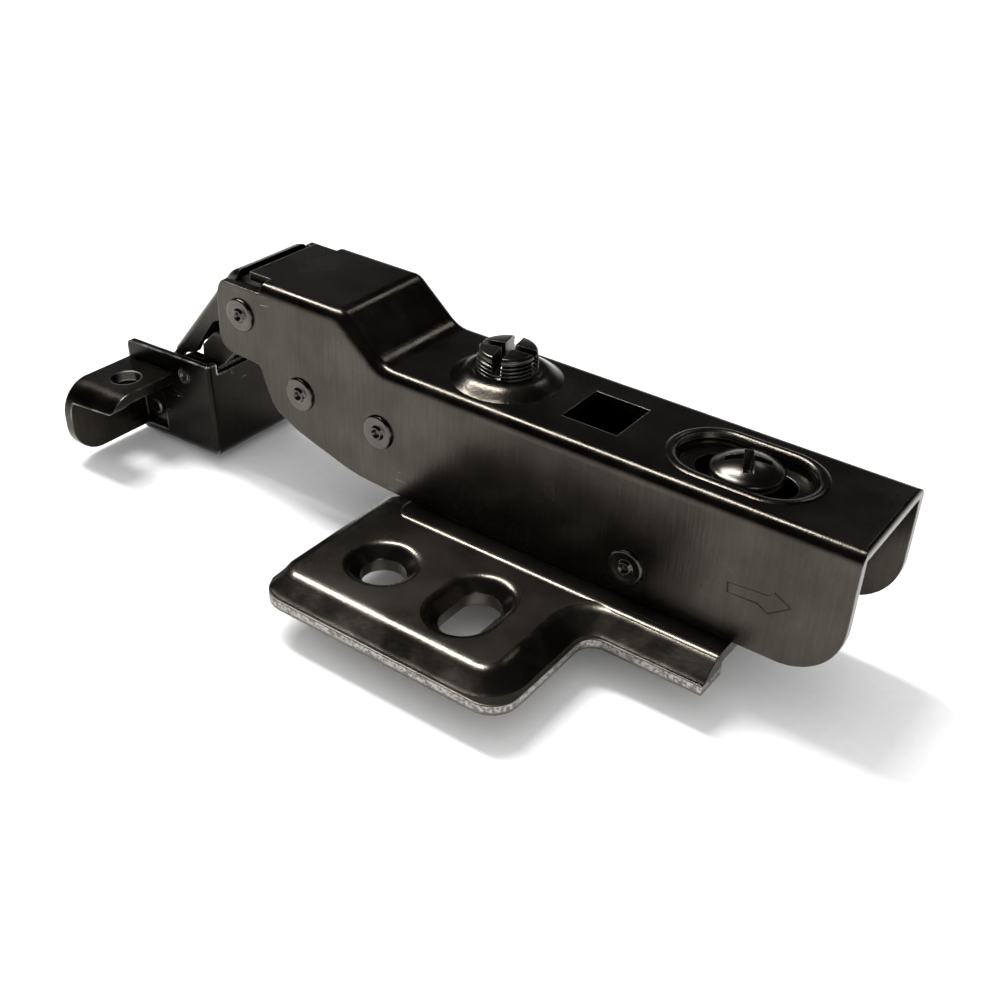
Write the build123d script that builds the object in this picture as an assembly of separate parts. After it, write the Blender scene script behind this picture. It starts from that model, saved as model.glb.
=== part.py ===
"""Concealed clip-on cabinet hinge with a narrow cup for framed doors, shown open.

Millimetres.  X runs from the cup (minus) to the rear end of the arm (plus), Y is the
pivot direction, Z stands off the cabinet side.  The origin is where the mounting plate
touches the cabinet, midway between its wings and in line with its round screw holes.
"""
import os
from math import atan2, cos, degrees, pi, radians, sin, tan

from build123d import *

os.makedirs("parts", exist_ok=True)

# ---------------------------------------------------------------- driving sizes
# pivots, as (x, z)
OUTER_PIVOT = (-26.2, 16.2)        # outer link in the arm
INNER_PIVOT = (-18.4, 9.85)        # inner link in the arm
SPRING_AXLE = (-8.2, 9.2)
GUIDE_PIN = (20.2, 5.9)
CUP_OUTER_PIVOT = (-36.5, 1.6)     # outer link in the cup
CUP_INNER_PIVOT = (-35.7, 6.1)     # inner link in the cup

# hinge arm, one folded channel
ARM_HALF = 6.75                    # half of the outer width
ARM_SHEET = 0.9
ARM_TOP = 16.0
ARM_BOTTOM = 2.85
ARM_REAR = 40.5
REAR_CORNER_R = 5.5
HUMP_TOP = 20.24
HUMP_FOOT = (-8.2, ARM_TOP, 3.2)   # x, z and radius where the rear top meets the slope
HUMP_RIDGE = (-13.3, HUMP_TOP, 1.9)
HUMP_FRONT_X = -26.4               # front edge of the top between the walls
NOSE_X = -29.4
NOTCH_X = -23.5                    # bend reliefs start here
NOTCH_Y = 4.9                      # and leave this half width of the top
NOTCH_DEPTH = 0.95
BEND_R = 1.3
CUT_OUT_X = (10.1, 15.9)           # square cut-out of the top
CUT_OUT_Y = 2.95

# mounting plate, one pressed sheet
PLATE_SHEET = 1.2
BRIM = 1.0                         # thickness of the brim
WING_TOP = 2.45
RAIL_TOP = 2.65
RAIL_REAR = 31.0
RAIL_END = 35.0                    # drawn to here, then cut at RAIL_REAR
RAIL_FRONT = -4.4
RAIL_EDGE_Y = 8.9
# plans of the plate: front, rear, wing edge, rail edge, corner radius, inner radius
EDGE_PLAN = (-7.6, 19.6, 24.9, 11.5, 2.8, 1.8)
FLANK_PLAN = (-8.8, 19.2, 24.5, 11.2, 4.1, 1.8)
FLANK_RUN = 2.3                    # how far the flanks lean in up to the wing top
UNDER_PLAN = (-6.4, 17.7, 23.0, 9.7, 2.8, 3.2)
FRONT_STEP = (-4.0, 4.9, 7.3)      # the front steps back under the arm: x, and y at both ends
SCREW_Y = 16.0                     # both rows of screw holes, 32 mm apart
SLOT_X = 10.1
SCREW_HOLE_R = 2.15
SLOT_R = 2.1
SLOT_LENGTH = 6.9
DISH_R = 3.3                       # edge of the hollow round each screw hole
DISH_FLOOR = 1.2
DISH_BASE = 0.3                    # the dishes end this far above the cabinet
DISH_WALL = 0.7
EAR_X = (-2.6, 11.4)               # ears bent up out of the middle
EAR_Y = (3.0, 3.9)
EAR_TOP = 6.0
HOOK_BAR = (-0.4, 4.3)
BAR_R = 1.1
LATCH_X = 24.0
LATCH_HALF = 2.4

# side adjusting stud (M6) and depth screw
STUD_X = 2.0
STUD_R = 2.95
STUD_TOP = 19.2
STUD_NECK_R = 1.5
STUD_FOOT_R = 2.4
STUD_SLOT_TURN = 12
BOSS_R = 5.4
BOSS_TOP = 16.9
DEPTH_X = 27.2
DEPTH_SLOT_TURN = 25
HEAD_R = 3.3
SHANK_R = 1.95
RECESS_X = (20.6, 33.6)            # ends and half width of its open edge
RECESS_HALF = 3.8
RECESS_DEPTH = 1.2
RECESS_TAPER = 15
ARM_SLOT_X = (22.5, 31.9)
ARM_SLOT_R = 2.3

# adapter between arm and plate
ADAPTER_HALF = 5.5
ADAPTER_SHEET = 0.95
ADAPTER_FRONT = -3.7
ADAPTER_REAR = 32.5
ADAPTER_TOP = 13.2
ADAPTER_BOTTOM = 3.2
SADDLE_TOP = 8.3
DEPTH_TRAVEL = 2.0                 # each way
LEVER_PIN = (26.4, 6.6)
LEVER_PIN_R = 0.9
LEVER_HALF = 3.6
CLIP_WIRE = 0.4
CLIP_TURNS = 2

# links
LINK_HALF = 5.15
LINK_SHEET = 0.85
LINK_BEND_R = 0.8
EYE_R = 1.02                       # clearance slot in the inner link at the cup
EYE_PLAY = 1.2
EYE_LEAN = 35

# cup, drawn square about its inner pivot
CUP_TILT = 2.5                     # the open cup leans this far past square
CUP_HALF = 6.75
CUP_SHEET = 0.7
CUP_LEFT = -8.8
CUP_RIGHT = 4.0
CUP_RIM = 2.05
CUP_FLOOR = -9.1
CUP_FLOOR_R = 1.1
CUP_CORNER_R = 0.5
WING_END = 16.2
WING_LOW = -8.4
WING_CORNER_R = 3.5
TONGUE = 7.4                       # depth of the flange round each wing
BRACKET_SHEET = 1.1
BRACKET_CHEEK = 0.6
TAP_HOLE = (-4.9, 10.6)            # threaded hole in each tongue
TAP_R = 1.62

# pins, rivets and springs
PIN_R = 0.75
CUP_AXLE_R = 0.85
AXLE_R = 1.0
RIVET_HEAD_R = 1.8
RIVET_HEAD = 0.5
RUN = 0.04                         # radial running clearance
COIL_FIT = 0.75                 # coil radius outside its axle, in wire thicknesses
SPRING_WIRE = 0.6
SPRING_TURNS = 2
FAR = 60                           # past every edge, for cutting tools


# ---------------------------------------------------------------- helpers
def outline(*corners):
    """Flat face in the drawing plane from corners (a, b) or (a, b, radius)."""
    count = len(corners)
    ends = []
    for i, corner in enumerate(corners):
        here = Vector(corner[0], corner[1])
        radius = corner[2] if len(corner) > 2 else 0
        to_last = (Vector(*corners[i - 1][:2]) - here).normalized()
        to_next = (Vector(*corners[(i + 1) % count][:2]) - here).normalized()
        if radius == 0:
            ends.append((here, None, here))
            continue
        half = radians(to_last.get_angle(to_next)) / 2
        cut = radius * cos(half) / sin(half)
        middle = here + (to_last + to_next).normalized() * (radius / sin(half) - radius)
        ends.append((here + to_last * cut, middle, here + to_next * cut))
    edges = []
    for i, (start, middle, stop) in enumerate(ends):
        if middle is not None:
            edges.append(ThreePointArc(start, middle, stop))
        following = ends[(i + 1) % count][0]
        if (following - stop).length > 1e-6:
            edges.append(Line(stop, following))
    return make_face(Wire(edges))


def slab(face, y0, y1):
    """Extrude a face drawn in (x, z) from y0 to y1."""
    return extrude(Plane.XZ.offset(-y1) * face, y1 - y0)


def cheeks(face, inner, outer):
    """The same face on both sides of the middle plane."""
    return slab(face, inner, outer) + slab(face, -outer, -inner)


def rod(at, radius, y0=-FAR, y1=FAR):
    """Round bar along Y at (x, z)."""
    return slab(Pos(*at) * Circle(radius), y0, y1)


def upright(x, y, radius, z0, z1):
    """Round bar along Z."""
    return Pos(x, y, z0) * extrude(Circle(radius), z1 - z0)


def block(x0, x1, y0, y1, z0, z1):
    return Pos((x0 + x1) / 2, (y0 + y1) / 2, (z0 + z1) / 2) * Box(x1 - x0, y1 - y0, z1 - z0)


def turned(profile, x, y=0):
    """Revolve corners (r, z) about the vertical line through x, y."""
    face = Plane.XZ * outline(*profile)
    return Pos(x, y, 0) * revolve(face, Axis.Z)


def run_along(x0, x1, radius):
    """Obround face along X between the end points x0 and x1."""
    return Pos((x0 + x1) / 2, 0) * SlotOverall(x1 - x0, 2 * radius)


def folded(side, half, radius, lowest):
    """Block under a bent sheet: the long edges above the height lowest are rounded."""
    body = slab(side, -half, half)
    crests = [e for e in body.edges() if abs(abs(e.center().Y) - half) < 0.01 and e.center().Z > lowest]
    return fillet(crests, radius)


def rivet(at):
    """Axle through both walls of the arm with a low bevelled head on each side."""
    shaft = rod(at, AXLE_R, -ARM_HALF, ARM_HALF)
    top = ARM_HALF + RIVET_HEAD
    flank = outline((0, ARM_HALF), (RIVET_HEAD_R, ARM_HALF), (RIVET_HEAD_R - RIVET_HEAD, top), (0, top))
    head = revolve(flank, Axis.Y)
    return shaft + Pos(at[0], 0, at[1]) * (head + mirror(head, Plane.XZ))


def coil(at, axle_r, wire, y0, turns, pitch):
    """Spring of square wire wound close round an axle along Y at (x, z), starting at y0."""
    steps = 12                     # straight lengths in one turn
    mean_r = (axle_r + RUN) / cos(pi / steps) + wire * COIL_FIT
    turn = [2 * pi * i / steps for i in range(turns * steps + 1)]
    path = Polyline(*[(mean_r * cos(a), pitch * a / (2 * pi), mean_r * sin(a)) for a in turn])
    outward = (cos(pi / steps), 0, sin(pi / steps))
    section = Plane(origin=path @ 0, x_dir=outward, z_dir=path % 0) * Rectangle(wire, wire)
    return Pos(at[0], y0, at[1]) * sweep(section, path=path, transition=Transition.RIGHT)


def bored(body, at, radius):
    return body - rod(at, radius)


def save(part, name):
    solids = part.solids()
    if len(solids) != 1:
        raise ValueError(f"{name} has {len(solids)} solids")
    single = solids[0]
    single.label = name
    export_step(single, f"parts/{name}.step")


# ---------------------------------------------------------------- hinge arm
def threaded_boss(body):
    """Raise the top into a cone with a threaded bore for the side adjusting stud."""
    under = ARM_TOP - ARM_SHEET
    neck = STUD_R + ARM_SHEET
    body += turned([(0, under - 0.9), (neck, under - 0.9), (neck, under), (BOSS_R, under), (BOSS_R, ARM_TOP),
                    (STUD_R + 0.4, BOSS_TOP), (0, BOSS_TOP)], STUD_X)
    return body - upright(STUD_X, 0, STUD_R + RUN, 0, FAR)


def screw_recess(body):
    """Sunk seat of the depth screw with the long hole it slides in."""
    floor = ARM_TOP - RECESS_DEPTH
    lip = 0.6
    flare = RECESS_DEPTH * tan(radians(RECESS_TAPER))
    seat = run_along(RECESS_X[0] - lip, RECESS_X[1] + lip, RECESS_HALF + lip)
    body += Pos(0, 0, floor - ARM_SHEET) * extrude(seat, RECESS_DEPTH + ARM_SHEET)
    bottom = run_along(RECESS_X[0] + flare, RECESS_X[1] - flare, RECESS_HALF - flare)
    body -= Pos(0, 0, floor) * extrude(bottom, RECESS_DEPTH + 0.01, taper=-RECESS_TAPER)
    return body - Pos(0, 0, floor - 2) * extrude(run_along(*ARM_SLOT_X, ARM_SLOT_R), 3)


def hinge_arm():
    wall = outline(
        (ARM_REAR, ARM_TOP, 0.4), HUMP_FOOT, HUMP_RIDGE, (NOSE_X, HUMP_TOP, 2.9),
        (NOSE_X, 11.6, 1.6), (-23.9, 11.35, 0.9), (-22.3, 7.1, 2.5),
        (-18.9, 5.3, 8), (-11.5, 3.2, 14), (-5.0, ARM_BOTTOM, 10),
        (ARM_REAR, ARM_BOTTOM, REAR_CORNER_R))
    # the sheet is bent down along its top only, so the bend is made before the ends are cut
    profile = outline((ARM_REAR, ARM_TOP), HUMP_FOOT, HUMP_RIDGE, (NOSE_X, HUMP_TOP), (NOSE_X, 0), (ARM_REAR, 0))
    body = folded(profile, ARM_HALF, BEND_R, ARM_TOP - 0.1) & slab(wall, -ARM_HALF, ARM_HALF)
    under = outline(
        (FAR, ARM_TOP - ARM_SHEET), (HUMP_FOOT[0] - 0.4, ARM_TOP - ARM_SHEET, 2.3),
        (HUMP_RIDGE[0] - 0.4, HUMP_TOP - ARM_SHEET, 1.9), (-FAR, HUMP_TOP - ARM_SHEET),
        (-FAR, -FAR), (FAR, -FAR))
    wall_in = ARM_HALF - ARM_SHEET
    body -= slab(under, -wall_in, wall_in)
    body -= block(-FAR, HUMP_FRONT_X, -wall_in, wall_in, 10, 30)
    for side in (1, -1):
        low, high = sorted((side * NOTCH_Y, side * (ARM_HALF + 1)))
        body -= block(-FAR, NOTCH_X, low, high, HUMP_TOP - NOTCH_DEPTH, 30)
    body = threaded_boss(body)
    body -= block(*CUT_OUT_X, -CUT_OUT_Y, CUT_OUT_Y, 12, 18)
    body = screw_recess(body)
    for at in (OUTER_PIVOT, INNER_PIVOT, SPRING_AXLE, GUIDE_PIN):
        body = bored(body, at, AXLE_R)
    return body


# ---------------------------------------------------------------- mounting plate
def plate_plan(front, rear, wing_y, rail_y, corner, inner):
    """Plan of two wings and the rail."""
    side = [(front, wing_y, corner), (rear, wing_y, corner), (rear, rail_y, inner), (RAIL_END, rail_y)]
    return outline(*side, *[(x, -y, *radius) for x, y, *radius in reversed(side)])


def rail(half_width, top, radius):
    """Raised middle of the plate: the section across it, and the length it runs."""
    flank = 1.14
    low = BRIM - 0.1
    foot = half_width + flank * (top - low)
    section = outline((-foot, low), (-half_width, top, radius), (half_width, top, radius), (foot, low))
    return extrude(Plane.YZ.offset(RAIL_FRONT) * section, RAIL_END - RAIL_FRONT)


def screw_dish(y, slot):
    """Sunk screw place in a wing: (material under the sheet, hollow to cut)."""
    if slot:
        hole = Pos(SLOT_X, y) * Rot(0, 0, 90) * SlotOverall(SLOT_LENGTH, 2 * SLOT_R)
        grow = DISH_R - SLOT_R
    else:
        hole = Pos(0, y) * Circle(SCREW_HOLE_R)
        grow = DISH_R - SCREW_HOLE_R
    depth = WING_TOP - DISH_FLOOR
    around = Pos(0, 0, DISH_BASE) * extrude(offset(hole, grow + DISH_WALL), WING_TOP - DISH_BASE)
    hollow = Pos(0, 0, DISH_FLOOR) * extrude(hole, depth + 0.01, taper=-degrees(atan2(grow, depth)))
    return around, hollow + Pos(0, 0, -1) * extrude(hole, 3)


def mounting_plate():
    rise = WING_TOP - BRIM
    lean = degrees(atan2(FLANK_RUN, rise))
    body = extrude(plate_plan(*EDGE_PLAN), BRIM)
    body += Pos(0, 0, BRIM) * extrude(plate_plan(*FLANK_PLAN), rise, taper=lean)
    body &= extrude(plate_plan(*EDGE_PLAN), WING_TOP)
    front_round = outline((RAIL_FRONT, -RAIL_EDGE_Y - 0.4, 2.2), (RAIL_END, -RAIL_EDGE_Y - 3),
                          (RAIL_END, RAIL_EDGE_Y + 3), (RAIL_FRONT, RAIL_EDGE_Y + 0.4, 2.2))
    body += rail(RAIL_EDGE_Y, RAIL_TOP, 1.0) & extrude(front_round, RAIL_TOP)
    # hollow underside of the pressed sheet
    body -= extrude(plate_plan(*UNDER_PLAN), WING_TOP - PLATE_SHEET, taper=45)
    body -= block(RAIL_FRONT + 2, FAR, -RAIL_EDGE_Y + 1, RAIL_EDGE_Y - 1, -1, RAIL_TOP - PLATE_SHEET)
    body -= block(RAIL_REAR, FAR, -FAR, FAR, -5, 10)
    step_x, step_y, wing_y = FRONT_STEP
    step = outline((-FAR, -wing_y), (EDGE_PLAN[0], -wing_y), (step_x, -step_y, 0.8), (step_x, step_y, 0.8),
                   (EDGE_PLAN[0], wing_y), (-FAR, wing_y))
    body -= extrude(step, 5)
    for y in (SCREW_Y, -SCREW_Y):
        for slot in (False, True):
            around, hollow = screw_dish(y, slot)
            body += around
            body -= hollow
    # ears bent up out of the middle carry the hook bar
    sheet_low = RAIL_TOP - PLATE_SHEET
    body -= block(*EAR_X, -EAR_Y[0], EAR_Y[0], -1, 5)
    ear = outline((EAR_X[0], sheet_low), (EAR_X[0], EAR_TOP, 1.4), (EAR_X[1], EAR_TOP, 1.4), (EAR_X[1], sheet_low))
    body += cheeks(ear, *EAR_Y)
    body = bored(body, HOOK_BAR, BAR_R)
    # latch tab at the rear, with a window for the release lever
    body -= block(LATCH_X - 5.4, LATCH_X, -LATCH_HALF, LATCH_HALF, -1, 5)
    body += block(LATCH_X, LATCH_X + 1.1, -LATCH_HALF, LATCH_HALF, sheet_low, 5.2)
    return body - block(LATCH_X - 1, LATCH_X + 2, 0.7 - LATCH_HALF, LATCH_HALF - 0.7, RAIL_TOP, 4.6)


def hook_bar():
    reach = ADAPTER_HALF - 0.1
    return rod(HOOK_BAR, BAR_R, -reach, reach)


# ---------------------------------------------------------------- adapter
def adapter():
    side = outline(
        (ADAPTER_FRONT, ADAPTER_BOTTOM, 1.0), (ADAPTER_FRONT, SADDLE_TOP), (8.6, SADDLE_TOP, 2.0),
        (17.0, ADAPTER_TOP, 1.5), (ADAPTER_REAR, ADAPTER_TOP), (ADAPTER_REAR, ADAPTER_BOTTOM, 1.5))
    saddle_under = SADDLE_TOP - ADAPTER_SHEET
    top_under = ADAPTER_TOP - ADAPTER_SHEET
    room = outline((-FAR, saddle_under), (9.0, saddle_under), (17.4, top_under), (FAR, top_under),
                   (FAR, -FAR), (-FAR, -FAR))
    wall_in = ADAPTER_HALF - ADAPTER_SHEET
    body = slab(side, -ADAPTER_HALF, ADAPTER_HALF)
    body -= slab(room, -wall_in, wall_in)
    # front hooks over the hook bar
    reach = BAR_R + RUN
    body -= rod(HOOK_BAR, reach) + block(HOOK_BAR[0] - reach, HOOK_BAR[0] + reach, -FAR, FAR, 0, HOOK_BAR[1])
    # open slot that the foot of the side adjusting stud slides in
    slot_half = STUD_NECK_R + 0.3
    slot_end = STUD_X + DEPTH_TRAVEL + 0.3
    body -= block(-FAR, slot_end, -slot_half, slot_half, SADDLE_TOP - 2, 12)
    body -= upright(slot_end, 0, slot_half, SADDLE_TOP - 2, 12)
    # window under the square cut-out of the arm
    body -= block(CUT_OUT_X[0] - 0.5, CUT_OUT_X[1] + 1.5, -CUT_OUT_Y, CUT_OUT_Y, 6, 20)
    # threaded hole for the depth screw
    body -= upright(DEPTH_X, 0, SHANK_R + RUN, 5, 20)
    # long holes for the guide pin
    travel = DEPTH_TRAVEL + 0.3
    body -= slab(Pos(*GUIDE_PIN) * SlotCenterToCenter(2 * travel, 2 * (AXLE_R + 0.3)), -FAR, FAR)
    return bored(body, LEVER_PIN, LEVER_PIN_R)


def clip_lever():
    """Rear release lever: two cheeks, a nose through the latch tab and a finger tab."""
    inside = LEVER_HALF - 0.9
    cheek = outline(
        (25.5, 3.55), (24.9, 7.6, 1.0), (27.6, 8.5, 1.5), (37.0, 7.2, 0.8),
        (36.8, 5.6), (29.4, 5.3, 2.0), (28.0, 3.55))
    body = cheeks(cheek, inside, LEVER_HALF)
    nose = outline((LATCH_X + 0.2, 3.55), (LATCH_X + 0.2, 4.2), (27.4, 4.4), (27.4, 3.55))
    body += slab(nose, -1.4, 1.4)
    body += block(26.2, 27.8, -LEVER_HALF, LEVER_HALF, 3.55, 4.4)
    finger = outline((33.2, 7.1), (33.4, 8.0), (37.0, 7.3, 0.4), (36.9, 6.2))
    body += slab(finger, -LEVER_HALF, LEVER_HALF)
    return bored(body, LEVER_PIN, LEVER_PIN_R + RUN)


def clip_lever_pin():
    return rod(LEVER_PIN, LEVER_PIN_R, -ADAPTER_HALF, ADAPTER_HALF)


def clip_spring():
    return coil(LEVER_PIN, LEVER_PIN_R, CLIP_WIRE, -1.0, CLIP_TURNS, 0.9)


# ---------------------------------------------------------------- screws
def slot_cross(x, z0, z1, width, length, turn):
    one = Box(length, width, z1 - z0)
    return Pos(x, 0, (z0 + z1) / 2) * Rot(0, 0, turn) * (one + Rot(0, 0, 90) * one)


def side_screw():
    """Stud with a cross slot on top; its foot hooks under the adapter."""
    neck_top = SADDLE_TOP + 0.3
    foot_top = SADDLE_TOP - ADAPTER_SHEET - 0.25
    body = turned([(0, foot_top - 0.7), (STUD_FOOT_R, foot_top - 0.7), (STUD_FOOT_R, foot_top),
                   (STUD_NECK_R, foot_top), (STUD_NECK_R, neck_top), (STUD_R, neck_top),
                   (STUD_R, STUD_TOP - 0.8), (STUD_R - 0.8, STUD_TOP), (0, STUD_TOP)], STUD_X)
    return body - slot_cross(STUD_X, STUD_TOP - 2.0, STUD_TOP + 1, 0.9, 7, STUD_SLOT_TURN)


def depth_screw():
    """Pan head with a cross recess, threaded into the adapter."""
    seat = ARM_TOP - RECESS_DEPTH + 0.15
    body = turned([(0, 10.2), (SHANK_R, 10.2), (SHANK_R, seat), (HEAD_R, seat), (HEAD_R, seat + 0.75),
                   (HEAD_R * 0.6, seat + 1.85), (0, seat + 1.85)], DEPTH_X)
    return body - slot_cross(DEPTH_X, seat + 0.7, seat + 2, 0.8, 4.2, DEPTH_SLOT_TURN)


# ---------------------------------------------------------------- links
def outer_link():
    """Channel whose web covers the gap between arm and cup."""
    flange = outline(
        (-28.4, 19.1), (-29.3, 18.7, 1.0), (-38.4, 7.9), (-40.2, 5.6, 1.2), (-39.7, 2.4),
        (-38.2, 0.0, 1.6), (-34.9, 0.0, 1.58), (-34.9, 3.2, 1.58), (-38.0, 3.2, 0.8),
        (-38.05, 6.9, 1.2), (-37.2, 7.9), (-35.4, 8.45), (-34.7, 9.6),
        (-31.9, 13.4, 2.0), (-23.85, 13.85, 2.3), (-23.85, 18.55, 2.3), (-27.7, 18.5))
    web = outline((-28.0, 19.95), (-29.15, 19.72, 2.2), (-38.75, 8.1), (-38.1, 7.56), (-28.69, 18.95, 1.35),
                  (-28.0, 19.08))
    # both are trimmed by a block with rounded long edges, whose top follows the web
    crest = outline((-20.0, 21.55), (-29.15, 19.72, 2.2), (-45.2, 0.3), (-45.2, -1.0), (-20.0, -1.0))
    body = cheeks(flange, LINK_HALF - LINK_SHEET, LINK_HALF) + slab(web, -LINK_HALF, LINK_HALF)
    body &= folded(crest, LINK_HALF, LINK_BEND_R, 5)
    body = bored(body, OUTER_PIVOT, AXLE_R + RUN)
    return bored(body, CUP_OUTER_PIVOT, CUP_AXLE_R + RUN)


def inner_link():
    """Arched channel that passes over the rim of the cup."""
    top = 12.35
    flange = outline(
        (-37.65, 4.4, 1.75), (-33.4, 4.4, 1.6), (-32.75, 7.55), (-31.0, 8.4, 1.5),
        (-29.2, 10.3), (-21.4, 10.3, 2.0), (-20.5, 7.35, 1.8), (-15.9, 7.35, 2.4),
        (-15.9, top, 2.4), (-31.6, top, 2.0), (-33.95, 9.9), (-34.1, 8.05),
        (-37.65, 8.05, 1.8))
    web = block(-31.3, -17.0, -LINK_HALF, LINK_HALF, top - LINK_SHEET, top)
    crest = outline((-FAR, 0), (-FAR, top), (0, top), (0, 0))
    body = cheeks(flange, LINK_HALF - LINK_SHEET, LINK_HALF) + web
    body &= folded(crest, LINK_HALF, LINK_BEND_R, top - 0.1)
    body = bored(body, INNER_PIVOT, AXLE_R + RUN)
    # the eye at the cup is a clearance slot
    loose = Pos(*CUP_INNER_PIVOT) * Rot(0, 0, EYE_LEAN) * SlotCenterToCenter(EYE_PLAY, 2 * EYE_R)
    return body - slab(loose, -FAR, FAR)


def closing_spring(y0):
    """Torsion spring on its axle inside one wall of the arm."""
    return coil(SPRING_AXLE, AXLE_R, SPRING_WIRE, y0, SPRING_TURNS, 1.2)


# ---------------------------------------------------------------- cup
def tilted(shape):
    """Turn a cup piece, drawn square about its inner pivot, into the open pose."""
    x, z = CUP_INNER_PIVOT
    return Pos(x, 0, z) * Rot(0, -CUP_TILT, 0) * shape


def box_of_sheet(inset):
    """Block of the cup's outer shape, drawn inward by inset."""
    left, right, half = CUP_LEFT - inset, CUP_RIGHT - inset, CUP_HALF - inset
    floor, rim = CUP_FLOOR + inset, CUP_RIM + inset
    low_r, corner_r = CUP_FLOOR_R - inset, max(CUP_CORNER_R - inset, 0)
    body = slab(outline((left, floor), (right, floor, low_r), (right, rim), (left, rim)), -half, half)
    across = outline((-half, floor, low_r), (half, floor, low_r), (half, rim), (-half, rim))
    body &= extrude(Plane.YZ.offset(left) * across, right - left)
    plan = outline((left, -half), (right, -half, corner_r), (right, half, corner_r), (left, half))
    return body & (Pos(0, 0, floor) * extrude(plan, rim - floor))


def cup():
    """Narrow open-ended box of thin sheet."""
    body = box_of_sheet(0) - box_of_sheet(CUP_SHEET)
    # the side walls are rounded at the open end and stop short below the wings
    side = outline((CUP_LEFT, CUP_FLOOR), (CUP_RIGHT, CUP_FLOOR), (CUP_RIGHT, CUP_RIM), (CUP_LEFT, CUP_RIM, 0.6))
    body &= slab(side, -CUP_HALF, CUP_HALF)
    body -= block(CUP_LEFT - 1, -3.8, -CUP_HALF, CUP_HALF, CUP_FLOOR + 1.4, -3.2)
    # room for the back plate of the wing bracket
    body -= block(CUP_LEFT - 1, CUP_LEFT + BRACKET_SHEET - 0.18, -CUP_HALF, CUP_HALF, CUP_FLOOR - 1, -0.08)
    # notch in the rim under the inner link
    body -= block(CUP_RIGHT - 2, CUP_RIGHT + 1, -5.5, 5.5, CUP_RIM - 1.15, CUP_RIM + 1)
    return bored(tilted(body), CUP_INNER_PIVOT, PIN_R)


def wing_bracket():
    """Carrier inside the cup: two cheeks, a low back strip and a flanged wing each side."""
    cheek_out = CUP_HALF - CUP_SHEET
    cheek = outline((CUP_LEFT, -7.7), (1.5, -7.4, 1.5), (2.4, -3.0, 1.5), (1.2, 1.0, 1.0), (-2.0, 1.2, 1.0),
                    (-3.2, -1.6, 1.0), (CUP_LEFT, -1.6))
    body = cheeks(cheek, cheek_out - BRACKET_CHEEK, cheek_out)
    top = -0.1
    back = outline((-WING_END, WING_LOW, WING_CORNER_R), (WING_END, WING_LOW, WING_CORNER_R),
                   (WING_END, top, WING_CORNER_R), (-WING_END, top, WING_CORNER_R))
    outside = CUP_LEFT - 0.2
    rear = Plane.YZ.offset(outside)
    body += extrude(rear * back, BRACKET_SHEET)
    # the flange follows the top edge and the outer corner of each wing
    band = extrude(rear * (back - offset(back, -BRACKET_SHEET)), TONGUE)
    keep = outline((outside - 1, 3), (outside + TONGUE, 3), (outside + TONGUE, -1.7, 0.6), (outside - 1, -2.1))
    band &= slab(keep, -FAR, FAR)
    band -= block(CUP_LEFT, 5, -CUP_HALF, CUP_HALF, -12, 5)
    body += band
    # clear the middle, so that the links can swing through
    body -= block(CUP_LEFT - 2, CUP_LEFT + 4, -5.45, 5.45, -6.6, 5)
    for side in (1, -1):
        body -= upright(TAP_HOLE[0], side * TAP_HOLE[1], TAP_R, -3, 2)
        low, high = sorted((side * (cheek_out - 0.3), side * (cheek_out + 0.15)))
        body += rod((-6.2, -5.8), 0.8, low, high)
    return bored(bored(tilted(body), CUP_INNER_PIVOT, PIN_R), CUP_OUTER_PIVOT, CUP_AXLE_R)


def cup_inner_pin():
    reach = CUP_HALF + 0.12
    return rod(CUP_INNER_PIVOT, PIN_R, -reach, reach)


def cup_outer_pin():
    reach = CUP_HALF - CUP_SHEET
    return rod(CUP_OUTER_PIVOT, CUP_AXLE_R, -reach, reach)


# ---------------------------------------------------------------- build
PARTS = {
    "mounting_plate": mounting_plate,
    "hook_bar": hook_bar,
    "adapter": adapter,
    "clip_lever": clip_lever,
    "clip_lever_pin": clip_lever_pin,
    "clip_spring": clip_spring,
    "depth_screw": depth_screw,
    "hinge_arm": hinge_arm,
    "side_screw": side_screw,
    "guide_pin": lambda: rivet(GUIDE_PIN),
    "outer_link": outer_link,
    "outer_link_pin": lambda: rivet(OUTER_PIVOT),
    "inner_link": inner_link,
    "inner_link_pin": lambda: rivet(INNER_PIVOT),
    "spring_axle": lambda: rivet(SPRING_AXLE),
    "closing_spring_near": lambda: closing_spring(-3.8),
    "closing_spring_far": lambda: closing_spring(1.4),
    "cup": cup,
    "wing_bracket": wing_bracket,
    "cup_inner_pin": cup_inner_pin,
    "cup_outer_pin": cup_outer_pin,
}

for part_name, make in PARTS.items():
    save(make(), part_name)
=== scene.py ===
"""Looks of the concealed cabinet hinge: camera, studio, plated steel and the fine forms.

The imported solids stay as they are.  Screws, rivets, springs and the raised wings of the
mounting plate get detailed meshes in their place, and the threads, the drawn collar, the
rolled recess and the engraved arrow are added over the solids.
Lengths are written in millimetres and scaled by MM.
"""
import math

import bmesh
import bpy
from mathutils import Matrix, Vector


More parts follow.
